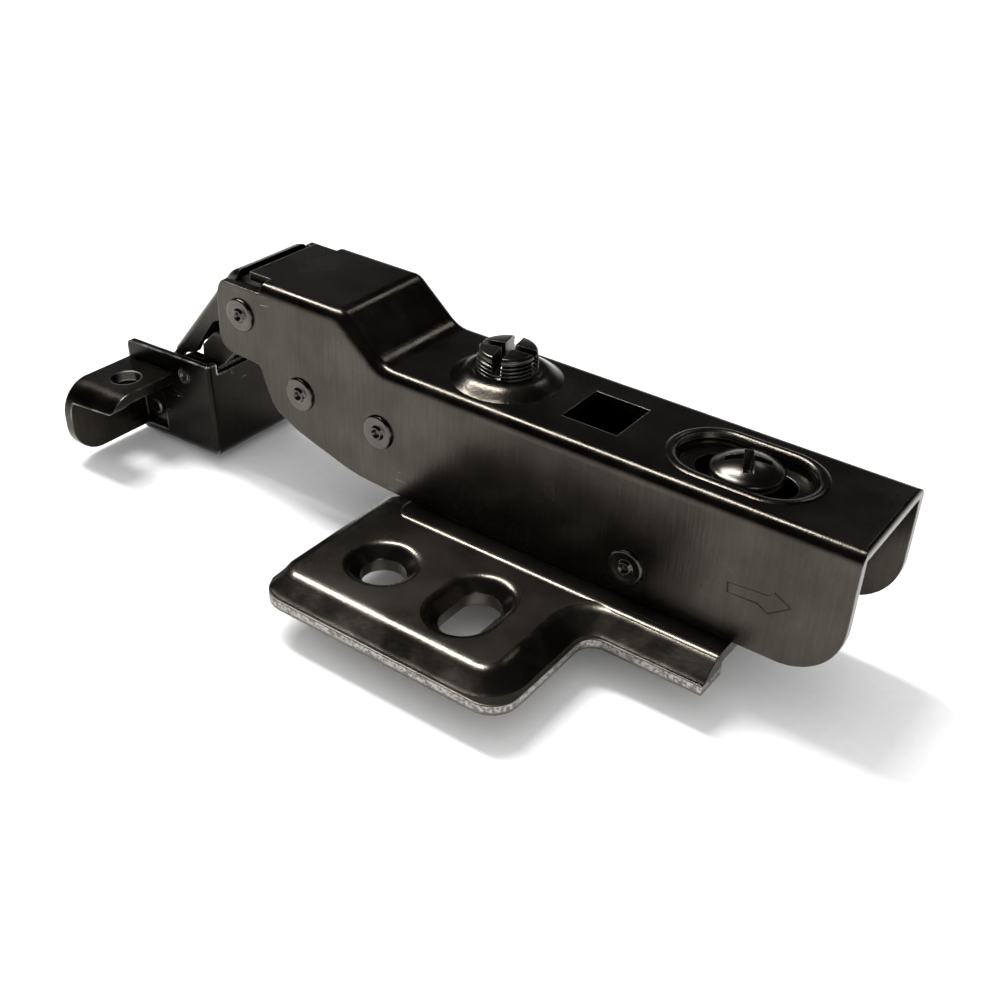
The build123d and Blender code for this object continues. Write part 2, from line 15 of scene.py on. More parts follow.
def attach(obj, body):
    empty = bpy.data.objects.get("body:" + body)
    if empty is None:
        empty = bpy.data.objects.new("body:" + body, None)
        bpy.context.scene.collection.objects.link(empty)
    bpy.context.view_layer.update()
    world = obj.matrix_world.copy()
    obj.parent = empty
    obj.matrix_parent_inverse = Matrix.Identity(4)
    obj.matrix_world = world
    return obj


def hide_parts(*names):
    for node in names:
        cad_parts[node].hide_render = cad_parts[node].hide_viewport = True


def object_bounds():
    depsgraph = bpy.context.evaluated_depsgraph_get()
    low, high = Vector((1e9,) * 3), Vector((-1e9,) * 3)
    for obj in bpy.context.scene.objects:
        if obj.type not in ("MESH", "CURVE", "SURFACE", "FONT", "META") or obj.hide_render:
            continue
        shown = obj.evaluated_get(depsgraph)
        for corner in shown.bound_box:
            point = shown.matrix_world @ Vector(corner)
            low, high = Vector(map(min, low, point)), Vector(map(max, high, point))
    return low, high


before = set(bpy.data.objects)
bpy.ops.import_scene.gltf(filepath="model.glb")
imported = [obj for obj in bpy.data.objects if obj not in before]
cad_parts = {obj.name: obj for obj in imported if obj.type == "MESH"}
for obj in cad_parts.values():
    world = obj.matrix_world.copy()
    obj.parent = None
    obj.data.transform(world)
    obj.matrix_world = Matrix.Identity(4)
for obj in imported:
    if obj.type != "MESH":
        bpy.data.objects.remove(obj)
cad_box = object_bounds()

MM = 0.001
SEGMENTS = 64

# places and sizes shared with the solids: pivots are (x, z) in the frame
OUTER_PIVOT = (-26.2, 16.2)
INNER_PIVOT = (-18.4, 9.85)
SPRING_AXLE = (-8.2, 9.2)
GUIDE_PIN = (20.2, 5.9)
LEVER_PIN = (26.4, 6.6)
CUP_INNER_PIVOT = (-35.7, 6.1)
ARM_HALF = 6.75
ARM_TOP = 16.0
RIVET_R = 1.8
RIVET_HEAD = 0.5
SHAFT_R = 1.0

# side adjusting stud, from its foot up
STUD_X = 2.0
STUD_R = 2.95
STUD_FOOT = 7.1
STUD_NECK = 8.6
STUD_TOP = 19.2
STUD_TURN = 12
BOSS_TOP = 16.9

# depth screw and the long recess that it sits in
DEPTH_X = 27.2
DEPTH_FOOT = 10.2
DEPTH_SEAT = 14.95
DEPTH_SHANK_R = 1.93
HEAD_R = 3.3
HEAD_TURN = 25
RECESS_HALF = 3.8
RECESS_X = (20.6, 33.6)
RECESS_DEPTH = 1.2
RECESS_LEAN = math.tan(math.radians(15))

# mounting plate: heights, then the plan of the sheet and of a wing's flank at its foot
BRIM = 1.0
WING_TOP = 2.45
RAIL_TOP = 2.65
FLANK_RUN = 2.3
SHEET_FRONT = -7.6
SHEET_OUT = 24.9
SHEET_CORNER = 2.8
WING_FRONT = -8.8
WING_REAR = 19.2
WING_OUT = 24.5
WING_CORNER = 4.1
RAIL_OUT = 11.2
RAIL_CORNER = 1.8
RAIL_END = 31.0
RAIL_START = 17.0
INNER_Y = 8.4
CUT_START = (-4.0, 4.9)
CUT_SLOPE = 2 / 3

# screw holes of a wing as (x, half run, radius), and how they are sunk
SCREW_Y = 16.0
HOLES = ((0.0, 0.0, 2.15), (10.1, 1.35, 2.1))
SINK_R = 3.3
SINK_DEPTH = 1.25
COLLAR_R = 4.1

# tapped holes in the cup's tongues
TAP_X = -40.567
TAP_Y = 10.6
TAP_Z = 5.237
TAP_R = 1.66
TAP_LEAN = -2.5

# lamps: where each stands, how far off, how long along X, how wide, and its power
LAMPS = (
    ("key", (-0.45, 0.07, 0.88), 0.45, 0.30, 0.08, 2.4),
    ("rim", (0.03, 0.70, 0.72), 0.50, 0.08, 0.08, 0.07),
    ("fill", (0.75, -0.55, 0.40), 0.50, 0.20, 0.20, 0.25),
)


# ---------------------------------------------------------------- camera
def aim_camera():
    """Places the camera at the photograph's viewing angle."""
    right = Vector((0.81374885, 0.57979725, 0.04059498))
    up = Vector((-0.34358082, 0.42353065, 0.83819688))
    back = Vector((0.46879103, -0.69602941, 0.54385479))
    place = Matrix((right, up, back)).transposed().to_4x4()
    place.translation = Vector((62.78, -90.41, 72.67)) * MM
    data = bpy.data.cameras.new("camera")
    data.sensor_width = 36.0
    data.lens = 46.598
    data.clip_start = 0.005
    camera = bpy.data.objects.new("camera", data)
    camera.matrix_world = place
    bpy.context.scene.collection.objects.link(camera)
    bpy.context.scene.camera = camera


# ---------------------------------------------------------------- node graphs
class Graph:
    """Builds the nodes of one material or world; values and sockets are passed alike."""

    def __init__(self, owner):
        owner.use_nodes = True
        self.tree = owner.node_tree
        self.tree.nodes.clear()

    def node(self, kind, settings=(), **inputs):
        """New node; an input's name is written with _ for each space."""
        made = self.tree.nodes.new(kind)
        for key, value in dict(settings).items():
            setattr(made, key, value)
        for key, value in inputs.items():
            self.feed(made.inputs[key.replace("_", " ")], value)
        return made

    def feed(self, socket, value):
        if isinstance(value, bpy.types.NodeSocket):
            self.tree.links.new(value, socket)
        else:
            socket.default_value = value

    def math(self, operation, *values):
        made = self.tree.nodes.new("ShaderNodeMath")
        made.operation = operation
        for socket, value in zip(made.inputs, values):
            self.feed(socket, value)
        return made.outputs[0]

    def vector(self, operation, *values):
        made = self.tree.nodes.new("ShaderNodeVectorMath")
        made.operation = operation
        for socket, value in zip(made.inputs, values):
            self.feed(socket, value)
        return made

    def step(self, value, low, high, to_low=0.0, to_high=1.0):
        """Smooth change from to_low to to_high as value goes from low to high."""
        made = self.node("ShaderNodeMapRange", {"interpolation_type": "SMOOTHSTEP"}, Value=value)
        for socket, number in zip(made.inputs[1:5], (low, high, to_low, to_high)):
            socket.default_value = number
        return made.outputs[0]

    def blend(self, factor, a, b):
        """Colour a where factor is 0 and b where it is 1."""
        made = self.node("ShaderNodeMix", {"data_type": "RGBA"})
        self.feed(made.inputs["Factor"], factor)
        self.feed(made.inputs[6], a)
        self.feed(made.inputs[7], b)
        return made.outputs[2]

    def noise(self, place, scale, detail=2.0, stretch=(1, 1, 1)):
        """Noise of about 1/scale metres, longer along the axes with a small stretch factor."""
        moved = self.vector("MULTIPLY", place, stretch).outputs[0]
        made = self.node("ShaderNodeTexNoise", Vector=moved, Scale=scale, Detail=detail)
        return made.outputs[0]


def grey(value, warm=0.0):
    """Neutral colour, warmer with a larger warm."""
    return (value * (1 + warm), value, value * (1 - 1.4 * warm), 1.0)


def sheared_band(graph, place, level):
    """Mask of the sheared edge round the plate's wings, in the middle of the sheet's thickness."""
    axis = graph.node("ShaderNodeSeparateXYZ", Vector=place).outputs
    upright = graph.step(graph.math("ABSOLUTE", level), 0.45, 0.25)
    across = graph.math("ABSOLUTE", axis[1])
    along = graph.math("ABSOLUTE", graph.math("SUBTRACT", axis[0], 5.5 * MM))
    outside = graph.math("MAXIMUM", graph.step(across, 21.5 * MM, 21.6 * MM),
                         graph.math("GREATER_THAN", along, 12 * MM))
    band = graph.math("MULTIPLY", graph.step(axis[2], 1.0 * MM, 0.86 * MM),
                      graph.step(axis[2], 0.14 * MM, 0.42 * MM))
    return graph.math("MULTIPLY", graph.math("MULTIPLY", upright, band), outside)


def scratch_marks(graph, place):
    """Mask of sparse short scratches: thin lines of a stretched noise, kept in a few patches."""
    slant = graph.noise(place, 420, 1, (0.22, 1.0, 2.6))
    near_line = graph.math("ABSOLUTE", graph.math("SUBTRACT", slant, 0.5))
    patch = graph.step(graph.noise(place, 230, 2), 0.67, 0.72)
    return graph.math("MULTIPLY", graph.step(near_line, 0.006, 0.002), patch)


def plated_steel(name, tone, warm, rough, grain=0.4, lines=0.0, worn_and_sheen=0.5, soft=0.12, wear_and_sheen_radius=0.13,
                 brim=False, scratched=0.0):
    """Plated steel with cloudy tone, fine satin grain, scuffs, and lighter edges that are partly wear and
    partly a painted highlight.

    tone is the colour away from the edges, warm how brown it is and rough its mean roughness.
    grain is the strength of the fine bumps, lines that of the upright drawing lines, worn_and_sheen
    the brightness of the edges, partly wear and partly a painted highlight, and scratched that of the
    scratches.  The shading rounds edges to the radius soft and lightens them within the radius
    wear_and_sheen_radius.  brim adds the sheared edge of the plate.
    """
    material = bpy.data.materials.new(name)
    graph = Graph(material)
    place = graph.node("ShaderNodeTexCoord").outputs["Object"]
    cloud = graph.noise(place, 160, 3)
    fine = graph.noise(place, 2600, 3)
    drawn = graph.noise(place, 900, 4, (4.0, 4.0, 0.25))
    scuff = graph.noise(place, 420, 5, (1.0, 1.0, 0.6))

    # edges, found by how far a small bevel would turn the surface
    rounded = graph.node("ShaderNodeBevel", {"samples": 8}, Radius=soft * MM).outputs[0]
    narrow = graph.node("ShaderNodeBevel", {"samples": 4}, Radius=wear_and_sheen_radius * MM).outputs[0]
    facing = graph.node("ShaderNodeNewGeometry").outputs["Normal"]
    turn = graph.vector("DOT_PRODUCT", narrow, facing).outputs["Value"]
    edge = graph.step(turn, 0.985, 0.86)
    edge = graph.math("MULTIPLY", edge, graph.step(scuff, 0.42, 0.66, 0.12, 1.0))

    colour = graph.blend(graph.step(cloud, 0.3, 0.7), grey(tone * 0.8, warm), grey(tone * 1.15, warm))
    speck = graph.step(fine, 0.55, 0.78)
    colour = graph.blend(graph.math("MULTIPLY", speck, 0.12), colour, grey(tone * 2.0, warm * 0.6))
    if lines:
        colour = graph.blend(graph.step(drawn, 0.35, 0.65, 0.16, 0.0), colour, grey(tone * 0.3, warm))

    # bends are burnished by the pressing tool, unevenly, and their grain shows more
    level = graph.node("ShaderNodeSeparateXYZ", Vector=facing).outputs[2]
    bend = graph.math("MULTIPLY", graph.step(level, 0.3, 0.5), graph.step(level, 0.998, 0.985))
    roughness = graph.math("MULTIPLY_ADD", cloud, 0.12, rough - 0.06)
    roughness = graph.math("SUBTRACT", roughness, graph.math("MULTIPLY", bend, 0.08))
    uneven = graph.math("MULTIPLY", bend, graph.step(scuff, 0.35, 0.7, 0.0, 0.07))
    roughness = graph.math("ADD", roughness, uneven)
    bumps = graph.math("MULTIPLY_ADD", bend, 1.0 * grain, 0.35 * grain)
    height = graph.math("MULTIPLY", fine, bumps)
    height = graph.math("ADD", height, graph.math("MULTIPLY", drawn, lines))

    if brim:
        # the sheared edge is coarse and catches the light
        sheared = sheared_band(graph, place, level)
        grit = graph.noise(place, 3600, 3)
        speckled = graph.math("MULTIPLY", sheared, graph.step(grit, 0.36, 0.62, 0.1, 1.0))
        colour = graph.blend(speckled, colour, grey(0.36, 0.03))
        roughness = graph.math("ADD", roughness, graph.math("MULTIPLY", sheared, 0.2))
        coarse = graph.math("MULTIPLY", grit, 2.0)
        height = graph.math("ADD", height, graph.math("MULTIPLY", sheared, coarse))
    if scratched:
        mark = scratch_marks(graph, place)
        colour = graph.blend(graph.math("MULTIPLY", mark, scratched), colour, grey(0.55, 0.02))
    # edges painted lighter: partly wear, partly a painted highlight along the edges
    colour = graph.blend(graph.math("MULTIPLY", edge, worn_and_sheen), colour, grey(0.72, 0.01))
    roughness = graph.math("ADD", roughness, graph.math("MULTIPLY", edge, 0.08))

    bump = graph.node("ShaderNodeBump", Height=height, Normal=rounded, Strength=0.5, Distance=0.03 * MM)
    shader = graph.node("ShaderNodeBsdfPrincipled", Base_Color=colour, Metallic=1.0,
                        Roughness=roughness, Normal=bump.outputs[0])
    graph.node("ShaderNodeOutputMaterial", Surface=shader.outputs[0])
    return material


# ---------------------------------------------------------------- studio
def paper_floor():
    """Pale paper floor just under the object."""
    floor_z = cad_box[0].z - 0.0002
    bpy.ops.mesh.primitive_grid_add(size=6, x_subdivisions=2, y_subdivisions=2, location=(0, 0, floor_z))
    floor = bpy.context.object
    floor.name = "floor"
    material = bpy.data.materials.new("floor_paper")
    graph = Graph(material)
    place = graph.node("ShaderNodeTexCoord").outputs["Object"]
    fibre = graph.noise(place, 900, 3)
    paper = graph.blend(graph.step(fibre, 0.3, 0.7), (0.93, 0.93, 0.93, 1), (0.96, 0.96, 0.96, 1))
    shader = graph.node("ShaderNodeBsdfPrincipled", Base_Color=paper, Roughness=0.9)
    graph.node("ShaderNodeOutputMaterial", Surface=shader.outputs[0])
    floor.data.materials.append(material)


def white_world():
    """White surroundings; in reflections they darken with height, so level tops stay dark."""
    world = bpy.data.worlds.new("studio")
    bpy.context.scene.world = world
    graph = Graph(world)
    direction = graph.node("ShaderNodeTexCoord").outputs["Generated"]
    up = graph.node("ShaderNodeSeparateXYZ", Vector=direction).outputs[2]
    rays = graph.node("ShaderNodeLightPath").outputs
    mirrored = graph.math("MAXIMUM", rays["Is Glossy Ray"], rays["Is Transmission Ray"])
    dimmed = graph.blend(mirrored, (1, 1, 1, 1), graph.step(up, 0.0, 0.32, 1.0, 0.02))
    shown = graph.math("MAXIMUM", rays["Is Camera Ray"], mirrored)
    ambient = graph.node("ShaderNodeBackground", Color=(1, 1, 1, 1), Strength=0.9)
    backdrop = graph.node("ShaderNodeBackground", Color=dimmed, Strength=1.0)
    mixed = graph.node("ShaderNodeMixShader")
    graph.feed(mixed.inputs[0], shown)
    graph.feed(mixed.inputs[1], ambient.outputs[0])
    graph.feed(mixed.inputs[2], backdrop.outputs[0])
    graph.node("ShaderNodeOutputWorld", Surface=mixed.outputs[0])


def soft_lamps():
    """Area lamps that face the object, their long side along X."""
    for name, toward, distance, length, width, power in LAMPS:
        lamp = bpy.data.lights.new(name, "AREA")
        lamp.shape = "RECTANGLE"
        lamp.size = length
        lamp.size_y = width
        lamp.energy = power
        holder = bpy.data.objects.new(name, lamp)
        aim = Vector(toward).normalized()
        holder.location = aim * distance
        across = Vector((0, 1, 0)).cross(aim).normalized()
        holder.rotation_euler = Matrix((across, aim.cross(across), aim)).transposed().to_euler()
        bpy.context.scene.collection.objects.link(holder)


# ---------------------------------------------------------------- meshes
def steps(start, stop, count):
    """Even values from start to stop, both included."""
    return [start + (stop - start) * k / count for k in range(count + 1)]


def around(items):
    """Each item of a closed ring with the next one."""
    return zip(items, items[1:] + items[:1])


def arc(centre, radius, start, stop, count):
    """Corners along an arc in a profile, angles in degrees."""
    angles = [math.radians(angle) for angle in steps(start, stop, count)]
    return [(centre[0] + radius * math.cos(a), centre[1] + radius * math.sin(a)) for a in angles]


def ring_faces(rows, width):
    """Faces between successive closed rings of width points."""
    faces = []
    for low in range(0, (rows - 1) * width, width):
        for k in range(width):
            n = (k + 1) % width
            faces.append((low + k, low + n, low + width + n, low + width + k))
    return faces


def merged(*meshes):
    """Points and faces of several meshes as one."""
    points, faces = [], []
    for more_points, more_faces in meshes:
        offset = len(points)
        points += list(more_points)
        faces += [tuple(k + offset for k in face) for face in more_faces]
    return points, faces


def add_piece(name, data, body, material):
    """Object for a mesh or curve, riding on a body, with the given material."""
    piece = bpy.data.objects.new(name, data)
    bpy.context.scene.collection.objects.link(piece)
    data.materials.clear()
    data.materials.append(material)
    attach(piece, body)
    return piece


def solid(name, points, faces, body, material, smooth=True):
    """Mesh piece from points in millimetres, riding on a body."""
    mesh = bpy.data.meshes.new(name)
    mesh.from_pydata([Vector(p) * MM for p in points], [], faces)
    work = bmesh.new()
    work.from_mesh(mesh)
    bmesh.ops.remove_doubles(work, verts=work.verts, dist=1e-7)
    bmesh.ops.recalc_face_normals(work, faces=work.faces)
    for face in work.faces:
        face.smooth = smooth
    work.to_mesh(mesh)
    work.free()
    if smooth:
        mesh.set_sharp_from_angle(angle=math.radians(38))
    return add_piece(name, mesh, body, material)


def lathed(profile, origin, axis="Z", segments=SEGMENTS):
    """Points and faces of corners (radius, height) turned about an upright or cross axis."""
    points = []
    for radius, height in profile:
        for k in range(segments):
            angle = 2 * math.pi * k / segments
            a, b = radius * math.cos(angle), radius * math.sin(angle)
            spot = (a, b, height) if axis == "Z" else (a, height, b)
            points.append(Vector(spot) + Vector(origin))
    return points, ring_faces(len(profile), segments)


def threaded(x, y, radius, depth, pitch, z0, z1, outward=1, segments=SEGMENTS, rows=14):
    """Points and faces of a helical thread flank; outward is -1 for an inside thread."""
    count = int((z1 - z0) / pitch * rows)
    points = []
    for z in steps(z0, z1, count):
        for k in range(segments):
            angle = 2 * math.pi * k / segments
            phase = ((z - z0) / pitch - k / segments) % 1.0
            ridge = max(0.0, 1.0 - abs(phase - 0.5) / 0.42)
            fade = min(1.0, (z - z0) / 0.3, (z1 - z) / 0.3)
            r = radius - outward * depth * (1.0 - ridge * fade)
            points.append((x + r * math.cos(angle), y + r * math.sin(angle), z))
    return points, ring_faces(count + 1, segments)


def carve(piece, cutter_points, cutter_faces):
    """Cuts a shape out of a piece and keeps the result as its mesh."""
    mesh = bpy.data.meshes.new("cutter")
    mesh.from_pydata([Vector(p) * MM for p in cutter_points], [], cutter_faces)
    work = bmesh.new()
    work.from_mesh(mesh)
    bmesh.ops.recalc_face_normals(work, faces=work.faces)
    work.to_mesh(mesh)
    work.free()
    tool = bpy.data.objects.new("cutter", mesh)
    bpy.context.scene.collection.objects.link(tool)
    cut = piece.modifiers.new("cut", "BOOLEAN")
    cut.operation = "DIFFERENCE"
    cut.solver = "EXACT"
    cut.object = tool
    bpy.context.view_layer.update()
    seen = piece.evaluated_get(bpy.context.evaluated_depsgraph_get())
    result = bpy.data.meshes.new_from_object(seen)
    piece.modifiers.clear()
    piece.data = result
    bpy.data.objects.remove(tool)
    for face in result.polygons:
        face.use_smooth = True
    result.set_sharp_from_angle(angle=math.radians(32))


def carve_cross(piece, x, turn, levels):
    """Cuts a cross slot; levels are (height, half length, half width) from the bottom up."""
    for quarter in (0, 90):
        spin = Matrix.Rotation(math.radians(turn + quarter), 3, "Z")
        points = []
        for z, half_length, half_width in levels:
            for a, b in ((1, 1), (-1, 1), (-1, -1), (1, -1)):
                spot = spin @ Vector((a * half_length, b * half_width, 0))
                points.append((spot.x + x, spot.y, z))
        last = 4 * (len(levels) - 1)
        ends = [(3, 2, 1, 0), (last, last + 1, last + 2, last + 3)]
        carve(piece, points, ends + ring_faces(len(levels), 4))


# ---------------------------------------------------------------- screws, rivets and pins
def rivet(name, at, material):
    """Shaft through the arm with a rolled head on each side, dimpled in the middle."""
    x, z = at
    top = ARM_HALF + RIVET_HEAD
    half = [(0.0, top - 0.4), (0.24, top - 0.38), (0.36, top - 0.14)]
    half += arc((0.55, top - 0.12), 0.13, 150, 20, 5)
    half += [(0.82, top - 0.26), (1.05, top - 0.27), (1.3, top - 0.2)]
    half += arc((RIVET_R - 0.26, ARM_HALF + 0.1), 0.24, 75, 0, 5)
    half += [(RIVET_R, ARM_HALF + 0.02), (SHAFT_R, ARM_HALF + 0.02)]
    profile = half + [(r, -h) for r, h in reversed(half)]
    points, faces = lathed(profile, (x, 0, z), axis="Y", segments=48)
    piece = solid(name + "_formed", points, faces, "arm", material)
    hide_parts(name)


def peened_pin(material):
    """Cup pin with both ends peened into a small ring."""
    x, z = CUP_INNER_PIVOT
    half = [(0.0, 6.66), (0.26, 6.68), (0.38, 6.8)]
    half += arc((0.58, 6.74), 0.13, 120, 0, 5)
    half += [(0.72, 6.6)]
    profile = half + [(r, -h) for r, h in reversed(half)]
    points, faces = lathed(profile, (x, 0, z), axis="Y", segments=32)
    piece = solid("cup_inner_pin_formed", points, faces, "door_cup", material)
    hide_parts("cup_inner_pin")


def side_stud(material):
    """Adjusting stud: foot, threaded shank, domed crown and cross slot."""
    core = STUD_R - 0.3
    thread_foot = STUD_NECK + 0.3
    thread_top = STUD_TOP - 0.62
    shank = [(0.0, STUD_FOOT - 0.7), (2.4, STUD_FOOT - 0.7), (2.4, STUD_FOOT), (1.5, STUD_FOOT),
             (1.5, STUD_NECK), (core, STUD_NECK), (core, thread_foot)]
    crown = [(core, thread_top), (STUD_R - 0.08, STUD_TOP - 0.54)]
    crown += arc((STUD_R - 0.52, STUD_TOP - 0.5), 0.42, 5, 75, 8)
    crown += [(1.2, STUD_TOP - 0.04), (0.0, STUD_TOP)]
    points, faces = merged(lathed(shank, (STUD_X, 0, 0)),
                           threaded(STUD_X, 0, STUD_R, depth=0.3, pitch=0.4, z0=thread_foot, z1=thread_top),
                           lathed(crown, (STUD_X, 0, 0)))
    piece = solid("side_stud_threaded", points, faces, "side_stud", material)
    carve_cross(piece, STUD_X, STUD_TURN, ((STUD_TOP - 1.9, 4.0, 0.42), (STUD_TOP + 1, 4.0, 0.55)))
    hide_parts("side_screw")


def depth_head(material):
    """Pan-head screw with a tapered cross recess."""
    profile = [(0.0, DEPTH_FOOT), (1.5, DEPTH_FOOT), (DEPTH_SHANK_R, DEPTH_FOOT + 0.4),
               (DEPTH_SHANK_R, DEPTH_SEAT - 0.02), (HEAD_R - 0.1, DEPTH_SEAT)]
    profile += arc((HEAD_R - 0.45, DEPTH_SEAT + 0.5), 0.45, -60, 50, 8)
    profile += arc((0.0, DEPTH_SEAT - 3.2), 5.05, 55, 90, 10)
    profile = [(max(r, 0.0), h) for r, h in profile]
    points, faces = lathed(profile, (DEPTH_X, 0, 0))
    piece = solid("depth_screw_head", points, faces, "depth_stud", material)
    carve_cross(piece, DEPTH_X, HEAD_TURN, ((DEPTH_SEAT - 0.1, 0.9, 0.3),
                                            (DEPTH_SEAT + 1.2, 1.95, 0.42),
                                            (DEPTH_SEAT + 3, 2.6, 0.5)))
    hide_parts("depth_screw")


def tapped(name, y, material):
    """Thread inside the tapped hole of one tongue."""
    points, faces = threaded(0, 0, TAP_R, depth=0.16, pitch=0.5, z0=-0.55, z1=0.55,
                             outward=-1, segments=48, rows=12)
    lean = Matrix.Rotation(math.radians(TAP_LEAN), 3, "Y")
    centre = Vector((TAP_X, y, TAP_Z))
    points = [lean @ Vector(p) + centre for p in points]
    solid(name, points, faces, "door_cup", material)


def wound(name, node, at, mean_r, wire_r, y0, pitch, body, material, legs, turns=3):
    """Round-wire torsion spring with two straight legs, standing for a spring node."""
    x, z = at
    data = bpy.data.curves.new(name, "CURVE")
    data.dimensions = "3D"
    data.bevel_depth = wire_r * MM
    data.bevel_resolution = 3
    data.use_fill_caps = True
    coil = [Vector((x + mean_r * math.cos(a), y0 + pitch * a / (2 * math.pi), z + mean_r * math.sin(a)))
            for a in steps(0.0, 2 * math.pi * turns, turns * 16)]
    spots = [coil[0] + Vector((0, 0, -legs))] + coil + [coil[-1] + Vector((legs, 0, 0.2))]
    spline = data.splines.new("NURBS")
    spline.points.add(len(spots) - 1)
    for point, spot in zip(spline.points, spots):
        point.co = (*(spot * MM), 1.0)
    spline.order_u = 4
    spline.use_endpoint_u = True
    piece = add_piece(name, data, body, material)
    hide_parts(node)


# ---------------------------------------------------------------- mounting plate
def wing_ring(inset):
    """Plan of one raised wing, drawn in by inset from where its flank meets the brim.

    Each point is (x, y, rail), where rail goes from 0 on the wing to 1 along the rail.
    """
    front = max(WING_FRONT + inset, SHEET_FRONT)
    front_x, rear_x = WING_FRONT + WING_CORNER, WING_REAR - WING_CORNER
    corner_y = WING_OUT - WING_CORNER
    convex, concave = WING_CORNER - inset, RAIL_CORNER + inset
    turn_x, turn_y = WING_REAR + RAIL_CORNER, RAIL_OUT + RAIL_CORNER
    wing = [CUT_START, (front, CUT_START[1] + (CUT_START[0] - front) * CUT_SLOPE)]
    wing += [(front, y) for y in steps(8.0, corner_y, 8)]
    wing += arc((front_x, corner_y), convex, 175, 90, 14)
    wing += [(x, WING_OUT - inset) for x in steps(front_x, rear_x, 10)[1:-1]]
    wing += arc((rear_x, corner_y), convex, 90, 0, 14)
    wing += [(WING_REAR - inset, y) for y in steps(corner_y, turn_y, 4)[1:-1]]
    turn = arc((turn_x, turn_y), concave, 180, 270, 12)
    ring = [(x, y, 0.0) for x, y in wing]
    ring += [(x, y, k / 12) for k, (x, y) in enumerate(turn)]
    ring += [(x, RAIL_OUT - inset, 1.0) for x in steps(turn_x, RAIL_END, 4)[1:]]
    return [within_sheet(*point) for point in ring]


def within_sheet(x, y, rail):
    """Moves a point of the plan inside the sheet's front edge and its smaller corner."""
    x = max(x, SHEET_FRONT)
    corner_x, corner_y = SHEET_FRONT + SHEET_CORNER, SHEET_OUT - SHEET_CORNER
    dx, dy = x - corner_x, y - corner_y
    reach = math.hypot(dx, dy)
    if dx < 0 < dy and reach > SHEET_CORNER:
        x, y = corner_x + dx * SHEET_CORNER / reach, corner_y + dy * SHEET_CORNER / reach
    return x, y, rail


def hole_ring(x, half_run, radius, count=48):
    """Plan of the edge of a round or long hole."""
    ring = []
    for k in range(count):
        angle = 2 * math.pi * (k + 0.5) / count
        push = half_run if math.sin(angle) > 0 else -half_run
        ring.append((x + radius * math.cos(angle), SCREW_Y + push + radius * math.sin(angle), 0.0))
    return ring


def flank_section(roll=2.4):
    """Section of the flank as (inset, height), from the brim up to the flat over a rolled edge."""
    lean = math.atan2(WING_TOP - BRIM, FLANK_RUN)
    foot = [(0.0, BRIM - 0.03), (0.02, BRIM + 0.01), (0.14, BRIM + 0.06), (0.34, BRIM + 0.17)]
    centre = (FLANK_RUN + roll * math.tan(lean / 2), WING_TOP - roll)
    return foot + arc(centre, roll, 90 + math.degrees(lean), 90, 8)


def sink_section(hole, lip=1.3):
    """Section of a sunk screw place as (radius, height), from the flat down into the hole."""
    wall = math.atan2(SINK_DEPTH, SINK_R - hole)
    centre = (SINK_R + lip * math.tan(wall / 2), WING_TOP - lip)
    section = arc(centre, lip, 90, 90 + math.degrees(wall), 8)
    return section + [(hole + 0.02, WING_TOP - SINK_DEPTH + 0.03), (hole + 0.01, BRIM)]


def raised_wing(name, side, material):
    """Pressed-up wing of the plate with a rolled edge and two sunk screw places."""
    rail_rise = (RAIL_TOP + 0.01 - BRIM) / (WING_TOP - BRIM) - 1
    mesh = bpy.data.meshes.new(name)
    work = bmesh.new()

    def add_ring(plan, height):
        return [work.verts.new(Vector((x, side * y, height + (height - BRIM) * rail_rise * rail)) * MM)
                for x, y, rail in plan]

    def join(first, second, pairs):
        for (a, b), (c, d) in zip(pairs(first), pairs(second)):
            work.faces.new((a, b, d, c))

    def edges_round(loop):
        return [work.edges.get(pair) or work.edges.new(pair) for pair in around(loop)]

    def open_pairs(ring):
        return zip(ring, ring[1:])

    rings = [add_ring(wing_ring(inset), height) for inset, height in flank_section()]
    for first, second in zip(rings, rings[1:]):
        join(first, second, open_pairs)
    rail_foot = work.verts.new(Vector((RAIL_END, side * INNER_Y, BRIM)) * MM)
    work.faces.new([ring[-1] for ring in rings] + [rail_foot])

    # the flat lies between the flank's top, the inner border and the two holes
    turn_x = WING_REAR + RAIL_CORNER
    cut_back = -2.0
    inner = add_ring([(RAIL_END, INNER_Y, 1.0), (turn_x, INNER_Y, 1.0), (RAIL_START, INNER_Y, 0.0),
                      (cut_back, INNER_Y, 0.0), (cut_back, CUT_START[1], 0.0)], WING_TOP)
    edges = edges_round(rings[-1] + inner)
    for x, half_run, hole in HOLES:
        hoops = [add_ring(hole_ring(x, half_run, radius), height) for radius, height in sink_section(hole)]
        for first, second in zip(hoops, hoops[1:]):
            join(first, second, around)
        edges += edges_round(hoops[0])
    bmesh.ops.triangle_fill(work, use_beauty=True, use_dissolve=False, edges=edges)

    bmesh.ops.remove_doubles(work, verts=work.verts, dist=2e-7)
    bmesh.ops.recalc_face_normals(work, faces=work.faces)
    if sum(face.normal.z * face.calc_area() for face in work.faces) < 0:
        bmesh.ops.reverse_faces(work, faces=work.faces)
    for face in work.faces:
        face.smooth = True
    work.to_mesh(mesh)
    work.free()
    mesh.set_sharp_from_angle(angle=math.radians(35))
    piece = add_piece(name, mesh, "base", material)
    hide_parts("mounting_plate")


